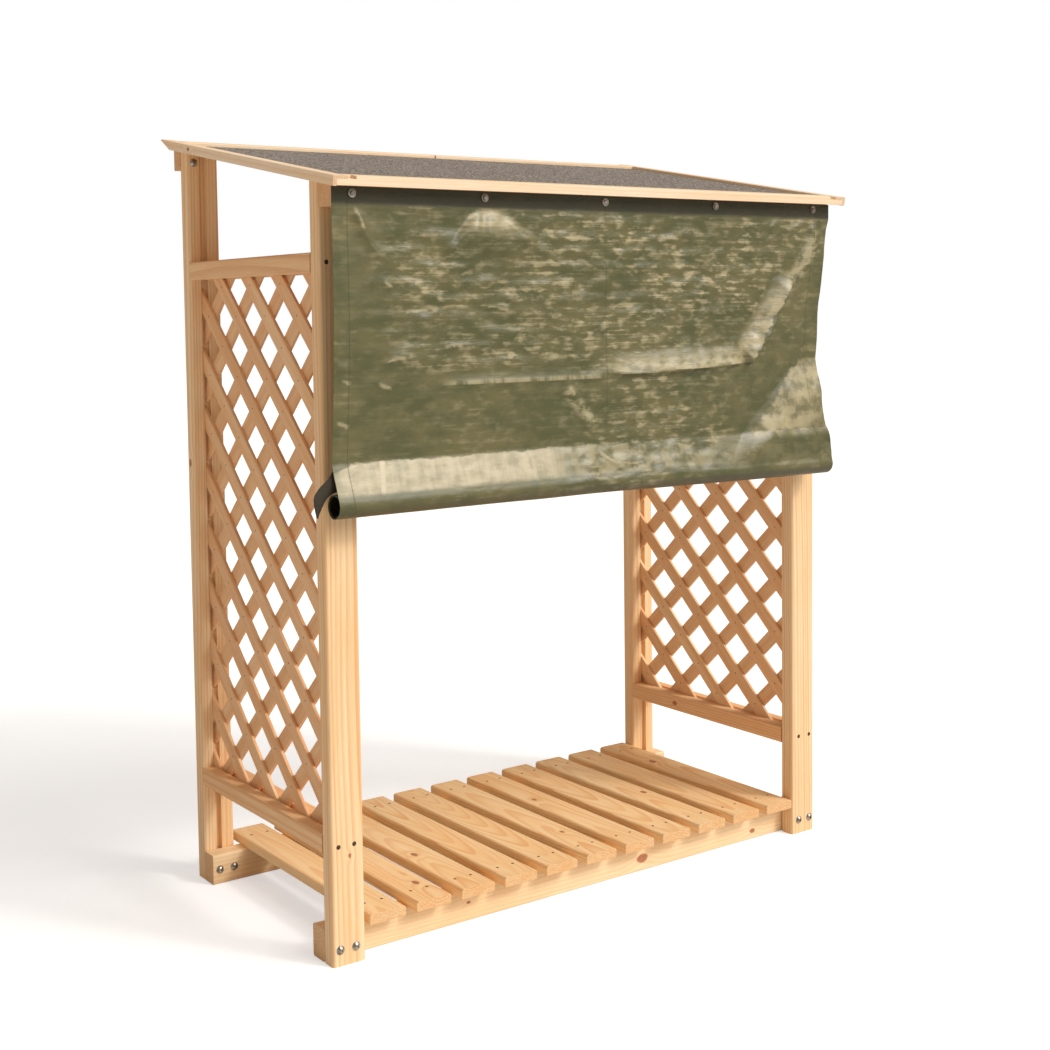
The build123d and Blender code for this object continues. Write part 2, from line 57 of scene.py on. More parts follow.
camera.matrix_world = (
    Matrix.Translation(CAMERA_PLACE)
    @ Matrix.Rotation(-yaw, 4, "Z")
    @ Matrix.Rotation(math.pi / 2 + pitch, 4, "X")
    @ Matrix.Rotation(-roll, 4, "Z")
)
bpy.context.scene.collection.objects.link(camera)
bpy.context.scene.camera = camera
bpy.context.scene.view_settings.view_transform = "Standard"


class Number:
    """One number of a material, which Python's own operators work with."""

    def __init__(self, finish, socket):
        self.finish, self.socket = finish, socket

    def result(self, operation, *terms):
        made = self.finish.node("Math", {"operation": operation}, dict(enumerate(terms)))
        return Number(self.finish, made.outputs[0])

    def through(self, operation):
        """What one of Blender's functions of a single number makes of it."""
        return self.result(operation, self)

    def __add__(self, other):
        return self.result("ADD", self, other)

    def __radd__(self, other):
        return self.result("ADD", other, self)

    def __sub__(self, other):
        return self.result("SUBTRACT", self, other)

    def __rsub__(self, other):
        return self.result("SUBTRACT", other, self)

    def __mul__(self, other):
        return self.result("MULTIPLY", self, other)

    def __rmul__(self, other):
        return self.result("MULTIPLY", other, self)

    def __truediv__(self, other):
        return self.result("DIVIDE", self, other)

    def __rtruediv__(self, other):
        return self.result("DIVIDE", other, self)

    def __pow__(self, other):
        return self.result("POWER", self, other)

    def __abs__(self):
        return self.result("ABSOLUTE", self)

    def least(self, other):
        return self.result("MINIMUM", self, other)

    def most(self, other):
        return self.result("MAXIMUM", self, other)


class Finish:
    """A material that is put together node by node."""

    def __init__(self, name):
        self.material = bpy.data.materials.new(name)
        self.material.use_nodes = True
        self.tree = self.material.node_tree
        self.tree.nodes.clear()
        self.shader = self.node("BsdfPrincipled")
        self.output = self.node("OutputMaterial", inputs={"Surface": self.shader.outputs[0]})
        self.place = self.node("TexCoord").outputs["Object"]

    def node(self, kind, settings=(), inputs=()):
        """A node with its settings, and with values or links on its sockets."""
        made = self.tree.nodes.new("ShaderNode" + kind)
        for name, value in dict(settings).items():
            setattr(made, name, value)
        for name, value in dict(inputs).items():
            self.feed(made.inputs[name], value)
        return made

    def feed(self, socket, value):
        """Puts a plain value on a socket, or links it to a number or another socket."""
        if isinstance(value, Number):
            value = value.socket
        if isinstance(value, bpy.types.NodeSocket):
            self.tree.links.new(value, socket)
        else:
            socket.default_value = value

    def surface(self, **inputs):
        for name, value in inputs.items():
            self.feed(self.shader.inputs[name.replace("_", " ")], value)

    def parts(self, vector):
        made = self.node("SeparateXYZ", inputs={0: vector})
        return [Number(self, out) for out in made.outputs]

    def moved(self, vector, location=(0, 0, 0), turn=(0, 0, 0), scale=(1, 1, 1), kind="POINT"):
        made = self.node("Mapping", {"vector_type": kind},
                         {"Vector": vector, "Location": location, "Rotation": turn, "Scale": scale})
        return made.outputs[0]

    def noise(self, vector, scale=1.0, detail=2.0, roughness=0.5):
        made = self.node("TexNoise", inputs={
            "Vector": vector, "Scale": scale, "Detail": detail, "Roughness": roughness})
        return Number(self, made.outputs[0])

    def step(self, value, low, high, first=0.0, last=1.0):
        """A smooth step from first to last as the value goes from low to high."""
        made = self.node("MapRange", {"interpolation_type": "SMOOTHSTEP"}, {
            0: value, 1: low, 2: high, 3: first, 4: last})
        return Number(self, made.outputs[0])

    def mix(self, amount, one, other):
        """One colour turned into the other by an amount from 0 to 1."""
        made = self.node("Mix", {"data_type": "RGBA"}, {0: amount, 6: one, 7: other})
        return made.outputs[2]

    def bump(self, height, distance, strength=1.0):
        made = self.node("Bump", inputs={"Height": height, "Distance": distance, "Strength": strength})
        return made.outputs[0]


def tone(red, green, blue):
    """A colour from its 0 to 255 values on screen, as the linear one that a socket takes."""
    linear = [c / 12.92 if c <= 0.04045 else ((c + 0.055) / 1.055) ** 2.4
              for c in (red / 255, green / 255, blue / 255)]
    return (*linear, 1.0)


# Studio: a broad soft lamp from the front right, with a smaller one in it for
# the clearer shadows, in a room that is white where the camera sees it and fills
# the shade with warm light. The white floor takes the shadow.
LAMP_DIRECTION, LAMP_COLOUR = Vector((0.43, -0.66, 0.62)), (1.0, 0.97, 0.91)
WARM_FILL, FILL_STRENGTH, WHITE = (1.0, 0.83, 0.68, 1.0), 0.42, (1.0, 1.0, 1.0, 1.0)
FLOOR_SIZE, FLOOR_COLOUR, FLOOR_GLOW, GLOW_STRENGTH = 60, (0.78, 0.78, 0.78, 1.0), (0.94, 1.0, 1.06, 1), 0.46
for name, energy, angle in (("broad_lamp", 2.1, 48), ("inner_lamp", 0.85, 9)):
    lamp_data = bpy.data.lights.new(name, "SUN")
    lamp_data.energy = energy
    lamp_data.angle = math.radians(angle)
    lamp_data.color = LAMP_COLOUR
    lamp = bpy.data.objects.new(name, lamp_data)
    lamp.rotation_mode = "QUATERNION"
    lamp.rotation_quaternion = LAMP_DIRECTION.to_track_quat("Z", "Y")
    bpy.context.scene.collection.objects.link(lamp)

world = bpy.data.worlds.new("white_room")
bpy.context.scene.world = world
world.use_nodes = True
room = world.node_tree
room.nodes.clear()
room_out = room.nodes.new("ShaderNodeOutputWorld")
room_mix = room.nodes.new("ShaderNodeMixShader")
room_ray = room.nodes.new("ShaderNodeLightPath")
room_seen = room.nodes.new("ShaderNodeMath")
room_seen.operation = "MAXIMUM"
room.links.new(room_ray.outputs["Is Camera Ray"], room_seen.inputs[0])
room.links.new(room_ray.outputs["Is Transmission Ray"], room_seen.inputs[1])
room.links.new(room_seen.outputs[0], room_mix.inputs[0])
for place, colour, strength in ((1, WARM_FILL, FILL_STRENGTH), (2, WHITE, 1.0)):
    room_shade = room.nodes.new("ShaderNodeBackground")
    room_shade.inputs["Color"].default_value = colour
    room_shade.inputs["Strength"].default_value = strength
    room.links.new(room_shade.outputs[0], room_mix.inputs[place])
room.links.new(room_mix.outputs[0], room_out.inputs["Surface"])

bpy.ops.mesh.primitive_plane_add(size=FLOOR_SIZE)
floor = bpy.context.object
floor.name = "studio_floor"
white_floor = Finish("white_floor")
white_floor.surface(Base_Color=FLOOR_COLOUR, Roughness=0.9, Specular_IOR_Level=0.1)
floor_seen = white_floor.node("LightPath").outputs["Is Camera Ray"]
floor_glow = white_floor.node("Emission", inputs={"Color": FLOOR_GLOW, "Strength": GLOW_STRENGTH})
floor_plain = white_floor.shader.outputs[0]
floor_bright = white_floor.node("AddShader", inputs={0: floor_plain, 1: floor_glow.outputs[0]})
floor_mixed = white_floor.node("MixShader", inputs={
    0: floor_seen, 1: floor_plain, 2: floor_bright.outputs[0]})
white_floor.feed(white_floor.output.inputs["Surface"], floor_mixed.outputs[0])
floor.data.materials.append(white_floor.material)

# Posts: four planed softwood boards on end, with rounded corners and a groove
# for the lattice. The grain runs up them, in fine lines on every face.
UPRIGHT, ACROSS, BACKWARD = (0, 0, 0), (0, math.pi / 2, 0), (-math.pi / 2, 0, 0)


def planed_wood(name, board, turn, heart, lean=(0.0, 0.0), ring=0.0065, seed=0.0, knots=(),
                pale=(252, 227, 188), warm=(245, 207, 158), line=(226, 164, 104), ink=0.68):
    """Softwood cut from a log whose heart lies beside the board, so that the
    growth rings show as lines, arches and end grain. Sizes are in metres in the
    board's own directions, the last of which is along its grain. A knot is a
    place, a size and the direction in which it runs through the board."""
    wood = Finish(name)
    low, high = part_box(board)
    own = wood.moved(wood.place, (low + high) / 2, turn, kind="TEXTURE")
    across, deep, along = wood.parts(own)
    shift = (seed * 3.17, seed * 1.31, seed * 2.23)
    sway = wood.node("TexNoise", inputs={
        "Vector": wood.moved(own, shift, scale=(6, 6, 1.1)), "Scale": 1.0, "Detail": 1.5})
    sway_across, sway_deep, sway_third = wood.parts(sway.outputs["Color"])
    from_heart = across - heart[0] - along * lean[0] + (sway_across - 0.5) * 0.02
    from_side = deep - heart[1] - along * lean[1] + (sway_deep - 0.5) * 0.02
    radius = (from_heart * from_heart + from_side * from_side) ** 0.5
    knot_mask = None
    for at, size, direction in knots:
        flat = [0.0 if axis == direction else 1.0 for axis in (0, 1)] + [0.62]
        offset = wood.node("VectorMath", {"operation": "SUBTRACT"}, {0: own, 1: at}).outputs[0]
        flattened = wood.node("VectorMath", {"operation": "MULTIPLY"}, {0: offset, 1: flat}).outputs[0]
        away = Number(wood, wood.node("VectorMath", {"operation": "LENGTH"}, {0: flattened}).outputs["Value"])
        bulge = (away * away * (-1 / (2.4 * size) ** 2)).through("EXPONENT")
        radius = radius + bulge * (size * 1.1)
        ragged = away + (wood.noise(own, 260, 2) - 0.5) * size * 0.35
        inside = wood.step(ragged, size * 0.72, size, 1.0, 0.0)
        eye = wood.step((ragged / size * 3.2).through("FRACT"), 0.2, 0.9)
        knot_mask = (inside, eye) if knot_mask is None else (
            knot_mask[0].most(inside), knot_mask[1] * (1 - inside) + eye * inside)
    year = radius / ring + (sway_third - 0.5) * 1.6
    whole_year = year.through("FLOOR")
    part = year - whole_year
    year_luck = wood.node("TexWhiteNoise", {"noise_dimensions": "1D"}, {"W": whole_year + seed})
    yearly = Number(wood, year_luck.outputs[0])
    late = wood.step(part, 0.30, 0.90) * wood.step(part, 0.93, 1.0, 1.0, 0.0) * (0.35 + yearly * 0.65)
    streak = wood.noise(wood.moved(own, shift, scale=(70, 70, 1.8)), 1.0, 3.0, 0.6)
    fibre = wood.noise(wood.moved(own, shift, scale=(1100, 1100, 22)), 1.0, 2.0, 0.6)
    patch = wood.noise(wood.moved(own, shift, scale=(9, 9, 2.4)), 1.0, 2.0, 0.5)
    colour = wood.mix(wood.step(streak * 0.6 + patch * 0.4, 0.36, 0.66), tone(*pale), tone(*warm))
    colour = wood.mix(late * ink, colour, tone(*line))
    colour = wood.mix((fibre - 0.5) * 0.55 + 0.12, colour, tone(*[c * 0.82 for c in line]))
    end = wood.node("VectorMath", {"operation": "DOT_PRODUCT"}, {
        0: wood.node("TexCoord").outputs["Normal"],
        1: Matrix.Rotation(turn[0], 3, "X") @ Matrix.Rotation(turn[1], 3, "Y") @ Vector((0, 0, 1))})
    end_mask = wood.step(abs(Number(wood, end.outputs["Value"])), 0.75, 0.92)
    speckle = wood.noise(own, 420, 3.0, 0.7)
    colour = wood.mix(end_mask * wood.step(speckle, 0.38, 0.64, 0.24, 0.56), colour, tone(190, 132, 84))
    height = late * 0.5 + fibre * 0.5 - end_mask * speckle * 0.8
    if knot_mask is not None:
        knot_colour = wood.mix(knot_mask[1], tone(196, 122, 84), tone(128, 70, 48))
        colour = wood.mix(knot_mask[0] * 0.9, colour, knot_colour)
        height = height + knot_mask[0] * knot_mask[1] * 0.6
    wood.surface(Base_Color=colour, Roughness=0.5 + fibre * 0.16 - late * 0.06,
                 Specular_IOR_Level=0.32, Normal=wood.bump(height, 0.00035, 0.55))
    return wood.material


def dress(node, material):
    """Gives a CAD piece its finish."""
    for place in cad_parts[node].material_slots:
        place.material = material


POST_HEARTS = {
    "front_left_post": ((0.052, 0.062), (0.006, -0.004), 3.1, [((0.004, 0.0, -0.52), 0.0035, 1)]),
    "front_right_post": ((-0.066, 0.045), (-0.005, 0.008), 7.7, []),
    "rear_left_post": ((0.060, -0.055), (0.010, 0.004), 11.4, [((0.0, 0.003, 0.12), 0.006, 0)]),
    "rear_right_post": ((-0.050, -0.070), (0.0, -0.008), 15.9, []),
}
for post, (heart, lean, seed, knots) in POST_HEARTS.items():
    dress(post, planed_wood(f"{post}_wood", post, UPRIGHT, heart, lean, 0.0062, seed, knots))

# Bottom rails: two square-edged bearers that lie on the ground behind the
# front posts and before the rear ones, with a few reddish knots.
RAIL_HEARTS = {
    "front_bottom_rail": ((-0.075, 0.030), (0.010, 0.004), 21.3,
                          [((0.004, -0.02, 0.145), 0.011, 1), ((-0.006, -0.02, -0.31), 0.0035, 1),
                           ((0.012, -0.02, 0.475), 0.006, 1)]),
    "rear_bottom_rail": ((0.062, 0.040), (-0.008, 0.006), 25.8, [((0.0, 0.02, -0.2), 0.009, 1)]),
}
for rail, (heart, lean, seed, knots) in RAIL_HEARTS.items():
    dress(rail, planed_wood(f"{rail}_wood", rail, ACROSS, heart, lean, 0.0078, seed, knots,
                            pale=(252, 228, 190), warm=(247, 212, 166), line=(232, 178, 122), ink=0.5))

# Floor: eleven slats laid from front to back across the bottom rails and
# nailed down. They are cut near the heart, so arches run along their faces.
SLAT_KNOTS = {
    2: [((0.012, -0.008, -0.208), 0.0075, 1), ((-0.020, -0.008, 0.010), 0.003, 1)],
    3: [((-0.010, -0.008, -0.075), 0.0075, 1)],
    6: [((0.008, -0.008, -0.150), 0.005, 1)],
    7: [((-0.012, -0.008, 0.06), 0.006, 1)],
    9: [((0.015, -0.008, -0.05), 0.007, 1)],
    11: [((-0.015, -0.008, 0.12), 0.008, 1)],
}
slat_luck = random.Random(4)
for index in range(1, 12):
    slat = f"floor_slat_{index:02d}"
    heart = (slat_luck.uniform(-0.018, 0.018), slat_luck.choice((-1, 1)) * slat_luck.uniform(0.035, 0.075))
    lean = (slat_luck.uniform(-0.02, 0.02), slat_luck.uniform(0.02, 0.07) * slat_luck.choice((-1, 1)))
    dress(slat, planed_wood(f"{slat}_wood", slat, BACKWARD, heart, lean, slat_luck.uniform(0.0048, 0.0068),
                            30 + index * 1.7, SLAT_KNOTS.get(index, []),
                            pale=(255, 228, 182), warm=(252, 210, 154), line=(232, 168, 104), ink=0.62))

# Top rails: a bearer bolted across the face of each pair of posts, with its
# upper face planed to the slope and its sawn ends showing at the sides.
for rail, heart, seed in (("front_top_rail", (-0.030, 0.055), 51.2), ("rear_top_rail", (0.040, 0.048), 55.6)):
    dress(rail, planed_wood(f"{rail}_wood", rail, ACROSS, heart, (0.004, 0.0), 0.0055, seed,
                            pale=(250, 216, 170), warm=(241, 197, 146), line=(218, 156, 100)))

# Side panel rails: short rails between the posts, grooved for the lattice.
PANEL_HEARTS = {
    "left_panel_top_rail": ((0.060, 0.020), 61.5, []),
    "left_panel_bottom_rail": ((0.050, -0.045), 64.1, []),
    "right_panel_top_rail": ((-0.055, 0.030), 67.9, []),
    "right_panel_bottom_rail": ((-0.050, -0.050), 70.2, [((-0.03, 0.0, 0.1), 0.006, 0)]),
}
for rail, (heart, seed, knots) in PANEL_HEARTS.items():
    dress(rail, planed_wood(f"{rail}_wood", rail, BACKWARD, heart, (0.006, 0.004), 0.0066, seed, knots,
                            pale=(250, 212, 166), warm=(243, 194, 142), line=(218, 152, 96), ink=0.6))

# Lattices: thin strips in two crossing layers, pinned where they cross, with
# eased edges that catch the light. Their ends are held in the grooves.
STRIP_WIDTH, STRIP_THICKNESS, STRIP_EASING = 0.032, 0.007, 0.0011
PIN_RADIUS, SCRAP_INSET = 0.0017, 0.032
PITCH_BACK, PITCH_UP = 0.1285, 0.1225
strip_slope = math.atan2(PITCH_UP, PITCH_BACK)


def alone(piece):
    """Leaves only this piece selected."""
    bpy.ops.object.select_all(action="DESELECT")
    piece.select_set(True)
    bpy.context.view_layer.objects.active = piece


def lattice_layer(name, x, low, high, direction, phase, material):
    """One layer of parallel strips, cut to the panel's rectangle. A scrap that
    would hang loose in the upper rear corner is cut off."""
    middle = (low + high) / 2
    width, height = high.y - low.y, high.z - low.z
    reach = math.ceil((width + height * PITCH_BACK / PITCH_UP) / 2 / PITCH_BACK) + 1
    bpy.ops.object.select_all(action="DESELECT")
    bpy.ops.mesh.primitive_cube_add(size=1)
    layer = bpy.context.object
    layer.name = name
    layer.scale = (STRIP_THICKNESS, 2 * math.hypot(width, height), STRIP_WIDTH)
    bpy.ops.object.transform_apply(location=False, rotation=False, scale=True)
    bpy.ops.object.mode_set(mode="EDIT")
    bpy.ops.mesh.select_all(action="SELECT")
    bpy.ops.mesh.bevel(offset=STRIP_EASING, segments=2, affect="EDGES")
    bpy.ops.object.mode_set(mode="OBJECT")
    layer.rotation_euler = (direction * strip_slope, 0, 0)
    bpy.ops.object.transform_apply(location=False, rotation=True, scale=False)
    row = layer.modifiers.new("row", "ARRAY")
    row.count = 2 * reach + 1
    row.use_relative_offset, row.use_constant_offset = False, True
    row.constant_offset_displace = (0, PITCH_BACK, 0)
    bpy.ops.object.modifier_apply(modifier="row")
    layer.location = (x, middle.y + direction * phase - reach * PITCH_BACK, middle.z)
    bpy.ops.object.transform_apply(location=True, rotation=False, scale=False)
    bpy.ops.object.mode_set(mode="EDIT")
    cuts = [(low, (0, -1, 0)), (high, (0, 1, 0)), (low, (0, 0, -1)), (high, (0, 0, 1))]
    if direction < 0:
        cuts.append((high - Vector((0, SCRAP_INSET, 0)), (0, PITCH_UP, PITCH_BACK)))
    for point, outward in cuts:
        bpy.ops.mesh.select_all(action="SELECT")
        bpy.ops.mesh.bisect(plane_co=point, plane_no=outward, use_fill=True, clear_outer=True)
    bpy.ops.object.mode_set(mode="OBJECT")
    layer.data.materials.append(material)
    return layer


def lattice_wood(name, x, middle, direction, phases, seed):
    """Planed strips, each with its own tone and its own run of the grain, and
    with the dark head of a pin at each crossing."""
    phase = phases[0] if direction > 0 else phases[1]
    wood = Finish(name)
    turn = (direction * strip_slope - math.pi / 2, 0, 0)
    own = wood.moved(wood.place, (x, middle.y + direction * phase, middle.z), turn, kind="TEXTURE")
    thin, across, along = wood.parts(own)
    step_across = PITCH_BACK * math.sin(strip_slope)
    count = across / step_across + 0.5
    strip = count.through("FLOOR")
    luck = wood.node("TexWhiteNoise", {"noise_dimensions": "1D"}, {"W": strip + seed})
    first, second, third = wood.parts(luck.outputs["Color"])
    side = across - strip * step_across
    placed = wood.node("CombineXYZ", inputs={0: thin + first * 3, 1: side + second * 5, 2: along + third * 7})
    sway = wood.noise(wood.moved(placed.outputs[0], scale=(5, 5, 1.6)), 1.0, 1.5)
    bent = side + (first - 0.5) * 0.03 + along * (second - 0.5) * 0.05 + (sway - 0.5) * 0.03
    year = bent / 0.0052 + thin * 40
    part = year - year.through("FLOOR")
    late = wood.step(part, 0.25, 0.88) * wood.step(part, 0.92, 1.0, 1.0, 0.0)
    streak = wood.noise(wood.moved(placed.outputs[0], scale=(60, 60, 2.2)), 1.0, 3.0, 0.6)
    fibre = wood.noise(wood.moved(placed.outputs[0], scale=(1000, 1000, 24)), 1.0, 2.0, 0.6)
    colour = wood.mix(wood.step(streak, 0.35, 0.65), tone(250, 216, 172), tone(242, 196, 146))
    colour = wood.mix(late * 0.55 * (0.3 + third * 0.7), colour, tone(212, 146, 96))
    colour = wood.mix(first * 0.30, colour, tone(232, 172, 124))
    colour = wood.mix((fibre - 0.5) * 0.5 + 0.1, colour, tone(180, 118, 70))
    plain_y, plain_z = wood.parts(wood.place)[1:]
    offsets = []
    for way, start in ((1, phases[0]), (-1, phases[1])):
        count = (plain_y - (middle.y + way * start)) / PITCH_BACK - (plain_z - middle.z) * (way / PITCH_UP)
        offsets.append(count - (count + 0.5).through("FLOOR"))
    pin_y, pin_z = (offsets[0] + offsets[1]) * (PITCH_BACK / 2), (offsets[1] - offsets[0]) * (PITCH_UP / 2)
    from_pin = (pin_y * pin_y + pin_z * pin_z) ** 0.5
    pin = wood.step(from_pin, PIN_RADIUS - 0.0005, PIN_RADIUS + 0.0005, 1.0, 0.0)
    colour = wood.mix(pin * 0.8, colour, tone(92, 62, 40))
    wood.surface(Base_Color=colour, Roughness=0.52 + fibre * 0.15, Specular_IOR_Level=0.32,
                 Normal=wood.bump(late * 0.4 + fibre * 0.6, 0.0003, 0.5))
    return wood.material


for side, phases, seed in (("left", (0.0225, -0.0500), 80.0), ("right", (-0.0155, 0.0220), 90.0)):
    low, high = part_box(f"{side}_lattice")
    middle = (low + high) / 2
    layers = []
    for direction, part, phase in ((1, 0.25, phases[0]), (-1, 0.75, phases[1])):
        x = low.x + (high.x - low.x) * part
        wood = lattice_wood(f"{side}_strip_wood_{'rising' if direction > 0 else 'falling'}", x, middle,
                            direction, phases, seed + direction * 3)
        layers.append(lattice_layer(f"{side}_lattice_strips", x, low, high, direction, phase, wood))
    alone(layers[0])
    layers[1].select_set(True)
    bpy.ops.object.join()
    strips = bpy.context.object
    strips.name = f"{side}_lattice_strips"
    alone(strips)
    bpy.ops.object.shade_smooth_by_angle(angle=math.radians(35))
    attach(strips, "root")
    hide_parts(f"{side}_lattice")

# Roof board: thin boarding under the felt, seen only from below.
board_wood = planed_wood("roof_board_wood", "roof_board", ACROSS, (0.02, 0.35), (0.0, 0.01), 0.008, 101.0,
                         pale=(240, 200, 150), warm=(228, 180, 126), line=(200, 140, 86), ink=0.5)
dress("roof_board", board_wood)

# Roof felt: bitumen sheet faced with crushed mineral, in dark and pale grey grains.
felt = Finish("speckled_mineral_felt")
grit = felt.node("TexVoronoi", inputs={"Vector": felt.place, "Scale": 380.0, "Randomness": 1.0})
grit_luck = felt.parts(grit.outputs["Color"])
mottle = felt.noise(felt.place, 14.0, 3.0, 0.6)
grain = felt.noise(felt.place, 190.0, 3.0, 0.75)
felt_colour = felt.mix(felt.step(grit_luck[0], 0.30, 0.95), tone(70, 66, 66), tone(166, 158, 153))
felt_colour = felt.mix(felt.step(grain, 0.46, 0.60) * 0.62, felt_colour, tone(204, 196, 188))
felt_colour = felt.mix(felt.step(grit_luck[1], 0.80, 0.95) * 0.85, felt_colour, tone(36, 34, 35))
felt_colour = felt.mix(felt.step(mottle, 0.3, 0.7) * 0.15, felt_colour, tone(128, 117, 110))
felt.surface(Base_Color=felt_colour, Roughness=0.86, Specular_IOR_Level=0.3,
             Normal=felt.bump(grit_luck[2] * 0.6 + grain, 0.0014, 0.9))
dress("roof_felt", felt.material)

# Roof trims: pale planed battens that frame the felt, the rear one in two
# lengths that meet near the middle.
ROOF_PITCH = math.radians(10.45)
ALONG_SLOPE = (ROOF_PITCH - math.pi / 2, 0, 0)
TRIM_HEARTS = {
    "front_roof_trim": (ACROSS, (0.060, 0.030), 111.0, []),
    "rear_left_roof_trim": (ACROSS, (0.050, -0.040), 114.0, []),
    "rear_right_roof_trim": (ACROSS, (-0.060, 0.030), 117.0, []),
    "left_roof_trim": (ALONG_SLOPE, (0.050, 0.030), 120.0, [((-0.015, 0.0, 0.235), 0.0045, 0)]),
    "right_roof_trim": (ALONG_SLOPE, (-0.050, 0.040), 123.0, []),
}
for trim, (turn, heart, seed, knots) in TRIM_HEARTS.items():
    dress(trim, planed_wood(f"{trim}_wood", trim, turn, heart, (0.004, 0.003), 0.006, seed, knots,
                            pale=(254, 236, 210), warm=(250, 222, 186), line=(234, 192, 146), ink=0.5))

# Cover: one sheet of olive woven plastic, screwed along its upper edge to the
# front rail. It hangs, leans out from a fold and goes round its own roll,
# pulled in at the right edge and creased where it was packed.
cover_low, cover_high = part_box("cover_sheet")
roll_low, roll_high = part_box("cover_roll")
roll_radius = (roll_high.z - roll_low.z) / 2
roll_middle = (roll_low + roll_high) / 2
FOLD_HEIGHT, WRAP_GAP, WRAP_TURNS = 0.940, 0.0024, 2.3
hang_y = (cover_low.y + cover_high.y) / 2
lean_out = math.asin(roll_radius / (FOLD_HEIGHT - roll_middle.z))
hang_length = cover_high.z - FOLD_HEIGHT
lean_length = math.sqrt((FOLD_HEIGHT - roll_middle.z) ** 2 - roll_radius ** 2)


def cover_profile():
    """Points down the middle of the sheet: how far along, y, z, and the way out."""
    rows = []
    hang_rows, lean_rows, wrap_rows = 100, 17, 52
    for row in range(hang_rows):
        along = hang_length * row / hang_rows
        rows.append((along, hang_y, cover_high.z - along, Vector((0, -1, 0))))
    for row in range(lean_rows):
        along = lean_length * row / lean_rows
        out = Vector((0, -math.cos(lean_out), math.sin(lean_out)))
        rows.append((hang_length + along, hang_y - along * math.sin(lean_out),
                     FOLD_HEIGHT - along * math.cos(lean_out), out))
    along, around = hang_length + lean_length, 0.0
    for row in range(wrap_rows + 1):
        turned = 2 * math.pi * WRAP_TURNS * row / wrap_rows
        radius = roll_radius - WRAP_GAP * turned / (2 * math.pi)
        along += radius * (turned - around)
        around = turned
        out = Vector((0, -math.cos(lean_out - turned), math.sin(lean_out - turned)))
        rows.append((along, roll_middle.y + out.y * radius, roll_middle.z + out.z * radius, out))
    return rows


# The tables of the cover are in millimetres, across from the sheet's left edge
# and up from the ground. A crease has its points, then how far it stands out and
# its width on the left and on the right of its run. The edges give how far the
# sheet is drawn in at a height, and the flare's line runs up to the right edge.
CREASES = (
    (((610, 1078), (746, 1077), (841, 1083), (961, 1085), (1026, 1091)), 13.0, 58, 13),
    (((1022, 1088), (1032, 1093), (1089, 1150), (1146, 1232), (1172, 1272)), 19.0, 56, 14),
    (((215, 1069), (327, 1070), (426, 1071), (511, 1070), (581, 1071), (632, 1074)), 4.4, 22, 12),
    (((522, 1064), (545, 1031), (571, 995), (594, 972)), 4.2, 14, 26),
    (((238, 1141), (273, 1143), (312, 1135)), 3.4, 12, 8),
    (((330, 1218), (360, 1216), (386, 1207)), 3.2, 13, 8),
    (((104, 1265), (124, 1250)), 2.2, 8, 8),
    (((108, 1119), (150, 1126), (183, 1109)), 2.8, 16, 10),
    (((92, 1079), (108, 1073), (122, 1066)), 2.4, 10, 8),
    (((0, 1125), (12, 1109), (32, 1112)), 2.2, 10, 8),
    (((596, 924), (631, 902), (662, 878)), 3.2, 10, 9),
    (((44, 1402), (66, 1356), (80, 1332), (106, 1303)), 4.2, 8, 20),
    (((1240, 1402), (1230, 1350), (1208, 1300), (1182, 1262), (1150, 1236)), 4.2, 10, 26),
    (((1116, 1404), (1100, 1388), (1084, 1372)), 2.6, 16, 8),
    (((700, 1012), (780, 988), (836, 950)), 2.4, 20, 14),
    (((816, 1058), (850, 1010), (858, 985)), 2.2, 10, 14),
    (((985, 1062), (960, 1030), (948, 1000)), 2.0, 14, 12),
)
RIGHT_EDGE = ((1432, -1), (1400, -1), (1378, 8), (1316, 16), (1255, 24), (1193, 34), (1132, 37), (1085, 42),
              (1023, 38), (960, 30), (913, 14), (890, 8), (869, 9), (0, 9))
LEFT_EDGE = ((1432, 0), (1200, -1), (1080, -4), (939, -10), (869, -8), (0, -8))
SCREW_PULLS = ((41, 2.0), (330, 1.6), (624, 1.2), (924, 1.6), (1218, 2.2))
SCREW_HEIGHT, RAIL_HEIGHT, ROLL_TOP = 1420.5, 1380, 869
FLARE = ((960, 890), (985, 920), (1028, 965), (1101, 1014), (1179, 1073), (1265, 1093), (1300, 1100))
FAN_TOP, FAN_LEFT, FAN_RIGHT, FAN_LEFT_SPREAD, FAN_RIGHT_SPREAD = 1404, 313, 366, 0.9, 1.5
LEAST_LIFT, MOST_LIFT = -12.0, 18.0


def eased(value, low, high):
    """A smooth step from 0 at low to 1 at high."""
    share = min(1.0, max(0.0, (value - low) / (high - low)))
    return share * share * (3 - 2 * share)


def between(table, at):
    """The value at a place, between the rows of a table that runs one way."""
    for (first, one), (last, other) in zip(table, table[1:]):
        if min(first, last) <= at <= max(first, last):
            return one + (other - one) * (at - first) / (last - first)
    return table[0][1] if abs(at - table[0][0]) < abs(at - table[-1][0]) else table[-1][1]


